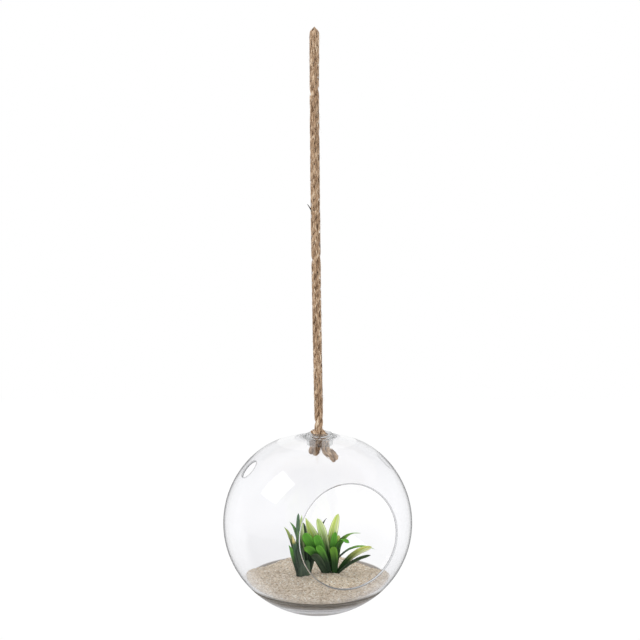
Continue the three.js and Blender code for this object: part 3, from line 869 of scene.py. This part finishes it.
def glass_kind(place):
    """0 on the outside wall and the foot, 1 on the inside wall and the floor, 2 on the lip and the rims."""
    reach, height = math.hypot(place[0], place[1]), place[2]
    out_off = abs(np.linalg.norm(place / (GLOBE_RADIUS, GLOBE_RADIUS, GLOBE_HALF_HEIGHT)) - 1)
    in_off = abs(np.linalg.norm(place / (INNER_RADIUS, INNER_RADIUS, INNER_HALF_HEIGHT)) - 1)
    for turn, rise, radius in OPENINGS:
        axis = outward(turn, rise)
        away = np.linalg.norm(place - axis * place.dot(axis))
        if place.dot(axis) > 0 and away < radius + WALL and min(out_off, in_off) > 0.001:
            return 2
    if height > 0 and reach < SHOULDER_RADIUS + NECK_ASIDE:
        return 2 if reach < LIP_RADIUS + NECK_ASIDE + 0.001 else 0
    if height < -FOOT_DROP + 0.0005:
        return 0
    return int(out_off >= in_off or height < -0.055 and out_off > 0.004)


# Tints of the glass by how far its surface turns away: share of turning, grey. They are painted shade that
# darkens the glass towards its edges and rims.
OUTSIDE_TINT = (
    (0.3, 0.995), (0.5, 0.982), (0.66, 0.955), (0.75, 0.9),
    (0.8, 0.74), (0.855, 0.42), (0.9, 0.34), (1.0, 0.3),
)
INSIDE_TINT = ((0.3, 0.985), (0.7, 0.975), (0.9, 0.95), (1.0, 0.9))
RIM_TINT = ((0.0, 0.8), (0.35, 0.68), (0.7, 0.46), (1.0, 0.3))
# Heights above the globe's middle between which the tints fade out towards the crown and the foot, and by
# what share
CROWN_FADE, CROWN_FADED = (0.066, 0.080), 0.6
FOOT_FADE, FOOT_FADED = (-0.052, -0.072), 0.78
# Painted shade by height, as a share of the way from the sand's top to the foot: dark under the sand, then
# clearer, and darker again near the bottom
FOOT_SPAN = (-0.020, -0.090)
FOOT_PAINTED_SHADE = (
    (0.0, (1, 1, 1)),
    (0.29, (0.95, 0.95, 0.95)),
    (0.609, (0.92, 0.92, 0.92)),
    (0.625, (0.28, 0.25, 0.22)),
    (0.664, (0.32, 0.3, 0.275)),
    (0.7, (0.5, 0.49, 0.47)),
    (0.745, (0.76, 0.76, 0.77)),
    (0.87, (0.8, 0.8, 0.81)),
    (0.92, (0.66, 0.66, 0.67)),
)
# Share of light that a rim's polished, slightly milky surface scatters
RIM_MILK = 0.02
# Past this many bounces light goes straight on, so that it is never lost inside the glass
STRAIGHT_FROM = 3.5
STRAIGHT_TINT = (0.95, 0.955, 0.955)
FOOT_SHADE = (0.9, 0.89, 0.88)
# The crown mirrors the dim upper part of the room
CROWN_SPAN = (0.046, 0.082)
CROWN_SHADE = (0.965, 0.965, 0.97)
GLASS_IOR = 1.47
MILK = (0.9, 0.92, 0.95)


def glass_material(name, tints, milk=0, outer=False):
    material, tree = bare_material(name)
    # Painted shade: the glass is drawn darker where its surface turns away, towards its edges and rims
    facing = node(tree, "LayerWeight").outputs["Facing"]
    tint = ramp(tree, facing, [(place, (grey, grey, min(1, grey * 1.006))) for place, grey in tints])
    place = node(tree, "TexCoord").outputs["Object"]
    height = node(tree, "SeparateXYZ", {0: place}).outputs["Z"]
    in_crown = map_range(tree, height, *CROWN_FADE, high=CROWN_FADED)
    in_foot = map_range(tree, height, *FOOT_FADE, high=FOOT_FADED)
    colour = mixed(tree, math_node(tree, "MAXIMUM", in_crown, in_foot), tint, (1, 1, 1))
    if outer:
        colour = mixed(tree, map_range(tree, height, *CROWN_SPAN), colour, CROWN_SHADE, "MULTIPLY")
        # Painted shade on the foot by height: a dark band under the sand and a darker line near the bottom
        lower = map_range(tree, height, *FOOT_SPAN, way="LINEAR")
        colour = mixed(tree, 1.0, colour, ramp(tree, lower, FOOT_PAINTED_SHADE), "MULTIPLY")
    glass = node(tree, "BsdfGlass", {"Color": colour, "Roughness": 0, "IOR": GLASS_IOR})
    body = mixed_shader(tree, milk, glass, node(tree, "BsdfDiffuse", {"Color": MILK}))
    path = node(tree, "LightPath").outputs
    lit = math_node(tree, "MAXIMUM", path["Is Shadow Ray"], path["Is Diffuse Ray"])
    count = math_node(tree, "SUBTRACT", path["Ray Depth"], times(tree, lit, 99))
    deep = math_node(tree, "GREATER_THAN", count, STRAIGHT_FROM)
    # Light that would stay in the thick foot comes out dark from under the sand
    dark_foot = times(tree, in_foot, deep)
    straight_tint = mixed(tree, dark_foot, STRAIGHT_TINT, FOOT_SHADE)
    clear = node(tree, "BsdfTransparent", {"Color": straight_tint})
    surface = mixed_shader(tree, math_node(tree, "MAXIMUM", lit, deep), body, clear)
    node(tree, "OutputMaterial", {"Surface": surface.outputs[0]})
    return material


# Sand. Its grains are cells of a pattern at this scale; its low mounds are given by place, spread and rise.
GRAIN_SCALE = 820
MOUNDS = (
    (0.0218, -0.0126, 0.016, 0.0016),
    (-0.0059, -0.0205, 0.018, 0.0016),
    (0.0336, -0.0007, 0.010, -0.0022),
    (-0.052, 0.048, 0.034, -0.0055),
    (0.052, 0.044, 0.034, -0.0065),
    (0, 0.080, 0.034, -0.003),
    (0, -0.080, 0.040, -0.0025),
)


def sand_height(x, y):
    height = 0.00056 * math.sin(x / 0.011 + 1) * math.cos(y / 0.013)
    for cx, cy, spread, rise in MOUNDS:
        height += rise * math.exp(-((x - cx) ** 2 + (y - cy) ** 2) / spread ** 2)
    rough = noise.fractal((x / 0.006, y / 0.006, 3), 0.6, 2.1, 4)
    return height + 0.0008 * rough


def sand_rim(angle, gap):
    """Distance from the axis at which the sand's surface meets the glass."""
    r = inner_reach(SAND_DROP) - gap
    for _ in range(8):
        surface = sand_height(r * math.cos(angle), r * math.sin(angle)) - SAND_DROP
        r = inner_reach(gap - surface) - gap
    return r


def make_sand():
    gap = 0.00025
    segments, rings, sides = 240, 90, 18
    lowest = FLOOR_DROP - 2 * gap
    points = [(0, 0, sand_height(0, 0) - SAND_DROP), (0, 0, -lowest)]
    faces = []
    for a in turns(segments):
        rim = sand_rim(a, gap)
        for i in range(1, rings + 1):
            x, y = rim * i / rings * math.cos(a), rim * i / rings * math.sin(a)
            points.append((x, y, sand_height(x, y) - SAND_DROP))
        rim_depth = -points[-1][2]
        for i in range(1, sides):
            depth = lowest + (rim_depth - lowest) * (1 - i / sides) ** 1.4
            r = inner_reach(depth + gap) - gap
            points.append((r * math.cos(a), r * math.sin(a), -depth))
    close_columns(faces, 2, segments, rings + sides - 1, 0, 1)
    sand = mesh_object("sand_grains", points, faces)
    face_outward(sand)
    sand.data.materials.append(sand_material())
    sand.location = GLOBE_CENTRE
    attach(sand, "globe")
    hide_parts("sand_bed")


def sand_material():
    material, tree, shader = new_material("sand_grain")
    place = node(tree, "TexCoord").outputs["Object"]
    grains = node(tree, "TexVoronoi", {"Vector": place, "Scale": GRAIN_SCALE})
    draw = node(tree, "SeparateColor", {0: grains.outputs["Color"]}).outputs[0]
    grain = ramp(tree, draw, (
        (0.0, linear(150, 128, 108)),
        (0.15, linear(196, 176, 152)),
        (0.5, linear(228, 211, 189)),
        (0.85, linear(244, 230, 212)),
        (1.0, linear(255, 255, 250)),
    ))
    patches = ramp(tree, noise_node(tree, place, 90, 4), ((0.35, (0.86, 0.84, 0.82)), (0.65, (1, 1, 1))))
    round_grain = times(tree, grains.outputs["Distance"], -1.0)
    fill(tree, shader, {
        "Base Color": mixed(tree, 1.0, grain, patches, "MULTIPLY"),
        "Roughness": 0.85,
        "Specular IOR Level": 0.3,
        "Normal": bump(tree, round_grain, 0.0007, 1.0),
    })
    return material


# Plants. Each leaf: root across and back, middle and tip across, back and up from the level sand, width,
# turn of its broad side, share at which it narrows, its colours at the root and the tip, and where it has
# one, the colour of a patch close to the tip. Millimetres.
PINE = linear(34, 58, 44)
SLATE = linear(56, 76, 60)
OLIVE = linear(170, 192, 92)
SPRING = linear(146, 200, 86)
DEEP = linear(36, 74, 34)
MOSS = linear(112, 166, 60)
GRASS = linear(104, 176, 62)
FRESH = linear(118, 170, 92)
LIME = linear(222, 242, 128)
PALE = linear(212, 238, 152)
YELLOW = linear(238, 246, 122)
SHADED = linear(78, 122, 88)
AMBER = linear(255, 226, 110)
CREAM = linear(252, 255, 232)
GREY_GREEN = linear(122, 140, 116)

LEAF_RISE = -1.5
LEFT_LEAVES = (
    ((-19.7, -5.6), (-21, -6.6, 34), (-20.4, -5.6, 68), 6.4, 55, 0.8, PINE, SHADED),
    ((-20.2, -5.6), (-19.6, -6.6, 36), (-29.6, -8.6, 59.9), 5.6, 40, 0.5, PINE, FRESH),
    ((-20.7, -6.6), (-26.2, -9.6, 35), (-35.4, -12.6, 55.3), 5.6, 50, 0.5, PINE, OLIVE),
    ((-20.2, -8.1), (-24.6, -11.6, 20.3), (-30.4, -14.5, 36.4), 6, 35, 0.5, PINE, GRASS),
    ((-16.7, -5.2), (-18.1, -4.2, 34), (-16.9, -2.7, 65.3), 8.9, -12, 0.5, PINE, PALE),
    ((-11.3, -3.2), (-14, -0.7, 29.1), (-15.2, 1.3, 55.9), 7.8, -20, 0.65, PINE, PINE),
    ((-10.8, -3.7), (-8, -1.2, 14.2), (-5.2, 1.6, 25.1), 8.9, 10, 0.65, PINE, PINE),
    ((-17.8, -8.1), (-22.2, -11.1, 26), (-27.6, -12.6, 48), 5.8, 20, 0.5, PINE, SHADED, AMBER),
    ((-13.8, -7.1), (-17.2, -10.6, 20.2), (-19.3, -14, 36), 7.9, 0, 0.65, PINE, PINE),
)
RIGHT_LEAVES = (
    ((10.8, 5.2), (7.8, 3.3, 32.4), (-0.2, 1.3, 60.7), 9.6, 0, 0.65, DEEP, PALE),
    ((10, 5.2), (-1, 5.4, 30), (-13, 5.4, 60.1), 13, 5, 0.5, DEEP, LIME),
    ((8.4, 2.3), (-3.5, -3.7, 26.1), (-14.5, -7.6, 47), 10.9, 8, 0.8, PINE, GRASS),
    ((11, 2.3), (4.6, -3.7, 25.1), (-2.3, -6.6, 44.9), 9.9, 5, 0.8, PINE, GRASS),
    ((8.9, 0.9), (-2.9, -7.6, 23.5), (-14, -14.5, 33.6), 9.4, 12, 0.8, PINE, GRASS),
    ((13.2, 0.9), (6.7, -6.6, 20.7), (-0.7, -11.6, 34.8), 8.2, 5, 0.8, PINE, GRASS),
    ((9.9, 0.6), (2, -6.6, 16.2), (-5.5, -12.6, 25.3), 8.9, 8, 0.8, PINE, SLATE),
    ((18, 1.4), (17.9, -1.7, 17.9), (15.7, -3.7, 31.2), 8.4, 0, 0.8, DEEP, MOSS),
    ((16.4, 5.2), (14.5, 6.2, 29.3), (22.1, 7.2, 64), 9.9, 0, 0.65, DEEP, LIME),
    ((17.4, 4.2), (16.4, 3.3, 24.5), (19.1, 2.8, 45.2), 7.9, -8, 0.65, DEEP, GRASS),
    ((18, 6.4), (20.8, 9.2, 20.7), (22.4, 12.1, 39.2), 6.9, 15, 0.65, DEEP, YELLOW),
    ((19, 6), (24.2, 6.7, 33), (46.1, 5.2, 43.2), 6.2, 22, 0.5, DEEP, SPRING),
    ((19.4, 5.2), (22.8, 3.3, 31.5), (33.5, 0.3, 33.9), 7.6, 25, 0.65, DEEP, GRASS),
    ((12, 7.4), (34.2, 14, 22.7), (61.4, 19.1, 21.2), 6.9, 80, 0.5, PINE, SPRING),
    ((20.4, 5), (37.2, 1.3, 20), (57.5, -2.7, 30.5), 7.6, 0, 0.8, DEEP, YELLOW),
    ((20.6, 4), (38, -2.2, 14.6), (56.2, -6.6, 22.6), 5.4, 6, 0.8, PINE, DEEP),
    ((13, 7.2), (2.5, 13, 34), (9.8, 14, 57.3), 3.6, 10, 0.5, PINE, PINE),
)
LEFT_STUMP = ((-15.2, -5.4), 8.4, 4.5, 17.7)
RIGHT_STUMP = ((13, 3.8), 8, 4, 0.3)
STUMP_DEPTH = 8


def leaf_blade(spec, points, faces, uvs, roots, tips):
    root, bow, tip, width, face, widest, root_colour, tip_colour, *patch = spec
    start, middle, end = Vector((*root, LEAF_RISE)), Vector(bow), Vector(tip)
    pull = middle * 2 - start * 0.5 - end * 0.5
    broad = Vector((math.cos(math.radians(face)), math.sin(math.radians(face)), 0))
    steps, across = 28, 8
    fold, thick = 1.1, 0.9
    sharpness = 0.5 if widest > 0.6 else 1
    base = len(points)
    for side_way in (1, -1):
        for i in range(steps + 1):
            t = i / steps
            at = start * (1 - t) ** 2 + pull * 2 * t * (1 - t) + end * t ** 2
            along = ((pull - start) * (1 - t) + (end - pull) * t).normalized()
            side = (broad - along * broad.dot(along)).normalized()
            back = along.cross(side)
            swell = 0.5 + 0.5 * math.sin(min(t / widest, 1) * math.pi / 2)
            past = max(0.0, (t - widest) / (1 - widest))
            taper = max(0.03, max(0.0, 1 - past ** 2) ** sharpness)
            half = width / 2 * swell * taper
            for j in range(across + 1):
                v = 2 * j / across - 1
                lift = fold * taper * (1 - abs(v)) ** 0.8
                depth = thick / 2 * taper * (1 - v * v) ** 0.5 + 0.08
                ripple = 0.12 * math.sin(t * 23 + v * 3 + base) * abs(v)
                point = at + side * (v * half) + back * (lift + side_way * depth + ripple)
                points.append(point * MM + Vector((0, 0, -SAND_DROP)))
                in_patch = smoothstep(0.7, 0.82, t) * smoothstep(0.98, 0.9, t) * (1 - v * v)
                for colours, colour in ((roots, root_colour), (tips, tip_colour)):
                    if patch:
                        colour = tuple(np.array(colour) * (1 - in_patch) + np.array(patch[0]) * in_patch)
                    colours.append(colour)
    sheet = (steps + 1) * (across + 1)

    def add(corners):
        """A quad, its corners given by sheet, step and place across."""
        faces.append(tuple(base + sheet * way + i * (across + 1) + j for way, i, j in corners))
        uvs.append([(i / steps, j / across) for _, i, j in corners])

    for i in range(steps):
        for j in range(across):
            quad = [(i, j), (i + 1, j), (i + 1, j + 1), (i, j + 1)]
            add([(0, *corner) for corner in quad])
            add([(1, *corner) for corner in quad[::-1]])
        for j, order in ((0, 1), (across, -1)):
            add([(0, i, j), (1, i, j), (1, i + 1, j), (0, i + 1, j)][::order])
    for i, order in ((0, -1), (steps, 1)):
        for j in range(across):
            add([(0, i, j), (1, i, j), (1, i, j + 1), (0, i, j + 1)][::order])


def add_stump(spec, points, faces, uvs, roots, tips):
    (x, y), half_width, half_depth, height = spec
    sides = 28
    levels = ((-STUMP_DEPTH, 0.82), (0, 0.95), (height * 0.45, 1.0), (height * 0.85, 0.9), (height, 0.62))
    base = len(points)
    for z, size in levels:
        for a in turns(sides):
            ridge = 1 + 0.05 * math.cos(7 * a)
            across, back = half_width * size * ridge * math.cos(a), half_depth * size * ridge * math.sin(a)
            points.append(Vector(((x + across) * MM, (y + back) * MM, z * MM - SAND_DROP)))
            roots.append(PINE)
            tips.append(PINE)
    shares = [i / len(levels) for i in range(len(levels))]
    tube(faces, uvs, base, shares, [j / sides for j in range(sides + 1)])


def leaf_material():
    _, tree, shader = new_material("leaf_green")
    way = node(tree, "UVMap", uv_map="leaf_way").outputs["UV"]
    along, across, _ = node(tree, "SeparateXYZ", {0: way}).outputs
    root = node(tree, "Attribute", attribute_name="root_colour").outputs["Color"]
    tip = node(tree, "Attribute", attribute_name="tip_colour").outputs["Color"]
    streak = streaks(tree, way, (1.2, 17, 1), 3, 0.6)
    shift = times(tree, math_node(tree, "SUBTRACT", streak, 0.5), 0.55)
    # Each leaf turns from its root colour to its tip colour along its length; the darker lower part is
    # partly the leaf's own colour and partly painted shade
    blend = map_range(tree, math_node(tree, "ADD", along, shift), 0.3, 0.9)
    green = mixed(tree, blend, root, tip)
    # Leaves with pale tips have cream streaks, and dark ones have grey-green streaks
    bands = streaks(tree, way, (0.7, 9, 1))
    streaked = ramp(tree, bands, ((0.46, (0, 0, 0)), (0.58, (1, 1, 1))))
    tip_red = node(tree, "SeparateColor", {0: tip}).outputs[0]
    pale = times(tree, math_node(tree, "SUBTRACT", tip_red, 0.25), 1.6)
    amount = times(tree, times(tree, streaked, blend), pale)
    colour = mixed(tree, math_node(tree, "MAXIMUM", amount, 0.0), green, CREAM)
    dark = math_node(tree, "SUBTRACT", 1.0, times(tree, tip_red, 6.0))
    amount = times(tree, math_node(tree, "MAXIMUM", dark, 0.0), streaked)
    colour = mixed(tree, times(tree, amount, 0.35), colour, GREY_GREEN)
    # Painted highlight in a pale band just inside each edge, then darker at the very edge, with a light
    # line along the midrib
    off = math_node(tree, "ABSOLUTE", math_node(tree, "SUBTRACT", across, 0.5), 0)
    edge = ramp(tree, off, (
        (0.0, (1.22, 1.22, 1.14)),
        (0.05, (0.86, 0.9, 0.84)),
        (0.28, (0.98, 0.98, 0.94)),
        (0.4, (1.36, 1.36, 1.26)),
        (0.5, (0.46, 0.52, 0.46)),
    ))
    toned = mixed(tree, 1.0, colour, edge, "MULTIPLY")
    inputs = {"Vector": way, "Scale": 2.6, "Distortion": 0.6}
    veins = node(tree, "TexWave", inputs, wave_type="BANDS", bands_direction="Y").outputs["Fac"]
    vein_tone = ramp(tree, veins, ((0.0, (0.86, 0.88, 0.84)), (1.0, (1.16, 1.14, 1.12))))
    fill(tree, shader, {
        "Base Color": mixed(tree, 1.0, toned, vein_tone, "MULTIPLY"),
        "Roughness": 0.42,
        "Specular IOR Level": 0.35,
        "Normal": bump(tree, veins, 0.0002, 0.5),
    })


def make_plant(name, cad_node, leaves, stump):
    points, faces, uvs, roots, tips = [], [], [], [], []
    for spec in leaves:
        leaf_blade(spec, points, faces, uvs, roots, tips)
    add_stump(stump, points, faces, uvs, roots, tips)
    plant = mesh_object(name, points, faces)
    set_uvs(plant, "leaf_way", uvs)
    for label, colours in (("root_colour", roots), ("tip_colour", tips)):
        attribute = plant.data.color_attributes.new(label, "FLOAT_COLOR", "POINT")
        attribute.data.foreach_set("color", [c for colour in colours for c in (*colour, 1)])
    plant.data.materials.append(bpy.data.materials["leaf_green"])
    plant.location = GLOBE_CENTRE
    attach(plant, "globe")
    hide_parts(cad_node)


# Stage
FLOOR_HEIGHT = -1.5
FLOOR_REACH = 6
FLOOR_GREY = (0.86, 0.86, 0.86)
# Where the key lamp stands, from the globe's middle, its size and its brightness
KEY_PLACE = (-1.012, -0.310, 1.058)
KEY_SIZE = (0.71, 0.80)
KEY_RADIANCE = 2.0
# The share of the lamp that mirrors show
KEY_MIRRORED = 0.3
# Brightness of the surroundings on matt pieces, and as glass mirrors them from the room and its floor
AMBIENT = 0.93
MIRRORED = 0.5
FLOOR_MIRRORED = 0.24
# Mirrored surroundings brighten away from the viewer, between these directions and these metres on Y
ROOM_DEPTH = (-0.1, 0.35)
FLOOR_DEPTH = (-0.2, 0.5)
# Brightness of the floor where it is seen directly, and the share of it that the floor gives off itself
PAPER_WHITE = 1.06
PAPER_GLOW = 0.8


def seen_and_mirrored(tree, counted):
    """Which rays see the surroundings directly or straight through glass, and which see them mirrored.

    Light that goes straight through meets each wall twice, so an odd count of bounces tells a mirrored ray.
    counted is how many more than the real bounces the depth holds here: one for the world.
    """
    path = node(tree, "LightPath").outputs
    odd = math_node(tree, "MODULO", math_node(tree, "ADD", path["Ray Depth"], counted), 2.0)
    through = path["Is Transmission Ray"]
    straight = times(tree, through, math_node(tree, "SUBTRACT", 1.0, odd))
    bent = times(tree, through, odd)
    seen = math_node(tree, "MAXIMUM", path["Is Camera Ray"], straight)
    return seen, math_node(tree, "MAXIMUM", path["Is Glossy Ray"], bent)


def surroundings(tree, white, mirrored, way, span, counted=0.0):
    """Strength of the surroundings by how a ray sees them: dimmer in mirrors on the viewer's side."""
    seen, bent = seen_and_mirrored(tree, counted)
    place = node(tree, "TexCoord").outputs[way]
    ahead = node(tree, "SeparateXYZ", {0: place}).outputs["Y"]
    shine = map_range(tree, ahead, *span, low=mirrored)
    matt = times(tree, math_node(tree, "SUBTRACT", 1.0, bent), AMBIENT)
    level = math_node(tree, "ADD", matt, times(tree, bent, shine))
    return math_node(tree, "MAXIMUM", times(tree, seen, white), level), seen, bent


def make_world():
    world = bpy.data.worlds.new("studio")
    bpy.context.scene.world = world
    world.use_nodes = True
    tree = world.node_tree
    tree.nodes.clear()
    strength, _, _ = surroundings(tree, 1.0, MIRRORED, "Generated", ROOM_DEPTH, counted=1.0)
    sky = node(tree, "Background", {"Color": (1, 1, 1), "Strength": strength})
    node(tree, "OutputWorld", {"Surface": sky.outputs[0]})


def make_floor():
    reach = FLOOR_REACH
    square = ((-reach, -reach), (reach, -reach), (reach, reach), (-reach, reach))
    corners = [(x, y, FLOOR_HEIGHT) for x, y in square]
    floor = mesh_object("floor", corners, [(0, 1, 2, 3)], smooth=False)
    material, tree = bare_material("floor_paper")
    strength, seen, bent = surroundings(tree, PAPER_WHITE, FLOOR_MIRRORED, "Object", FLOOR_DEPTH)
    paper = node(tree, "BsdfDiffuse", {"Color": FLOOR_GREY})
    white = node(tree, "Emission", {"Strength": strength})
    shown = math_node(tree, "ADD", times(tree, seen, PAPER_GLOW), bent)
    surface = mixed_shader(tree, shown, paper, white)
    node(tree, "OutputMaterial", {"Surface": surface.outputs[0]})
    floor.data.materials.append(material)


def make_lights():
    """A flat lamp that faces the globe."""
    data = bpy.data.lights.new("key_softbox", "AREA")
    data.shape = "RECTANGLE"
    data.size, data.size_y = KEY_SIZE
    data.energy = KEY_RADIANCE * math.pi * KEY_SIZE[0] * KEY_SIZE[1]
    data.use_nodes = True
    tree = data.node_tree
    path = node(tree, "LightPath").outputs
    bent = math_node(tree, "MAXIMUM", path["Is Glossy Ray"], path["Is Transmission Ray"])
    dimmed = times(tree, bent, 1 - KEY_MIRRORED)
    shine = next(n for n in tree.nodes if n.type == "EMISSION")
    fill(tree, shine, {"Strength": math_node(tree, "SUBTRACT", 1.0, dimmed)})
    lamp = bpy.data.objects.new("key_softbox", data)
    lamp.location = Vector(GLOBE_CENTRE) + Vector(KEY_PLACE)
    lamp.rotation_euler = (-Vector(KEY_PLACE)).to_track_quat("-Z", "Y").to_euler()
    bpy.context.collection.objects.link(lamp)


make_camera()
make_rope()
make_glass()
make_sand()
leaf_material()
make_plant("left_leaves", "left_plant", LEFT_LEAVES, LEFT_STUMP)
make_plant("right_leaves", "right_plant", RIGHT_LEAVES, RIGHT_STUMP)
make_world()
make_floor()
make_lights()
bpy.context.scene.view_settings.view_transform = "Standard"
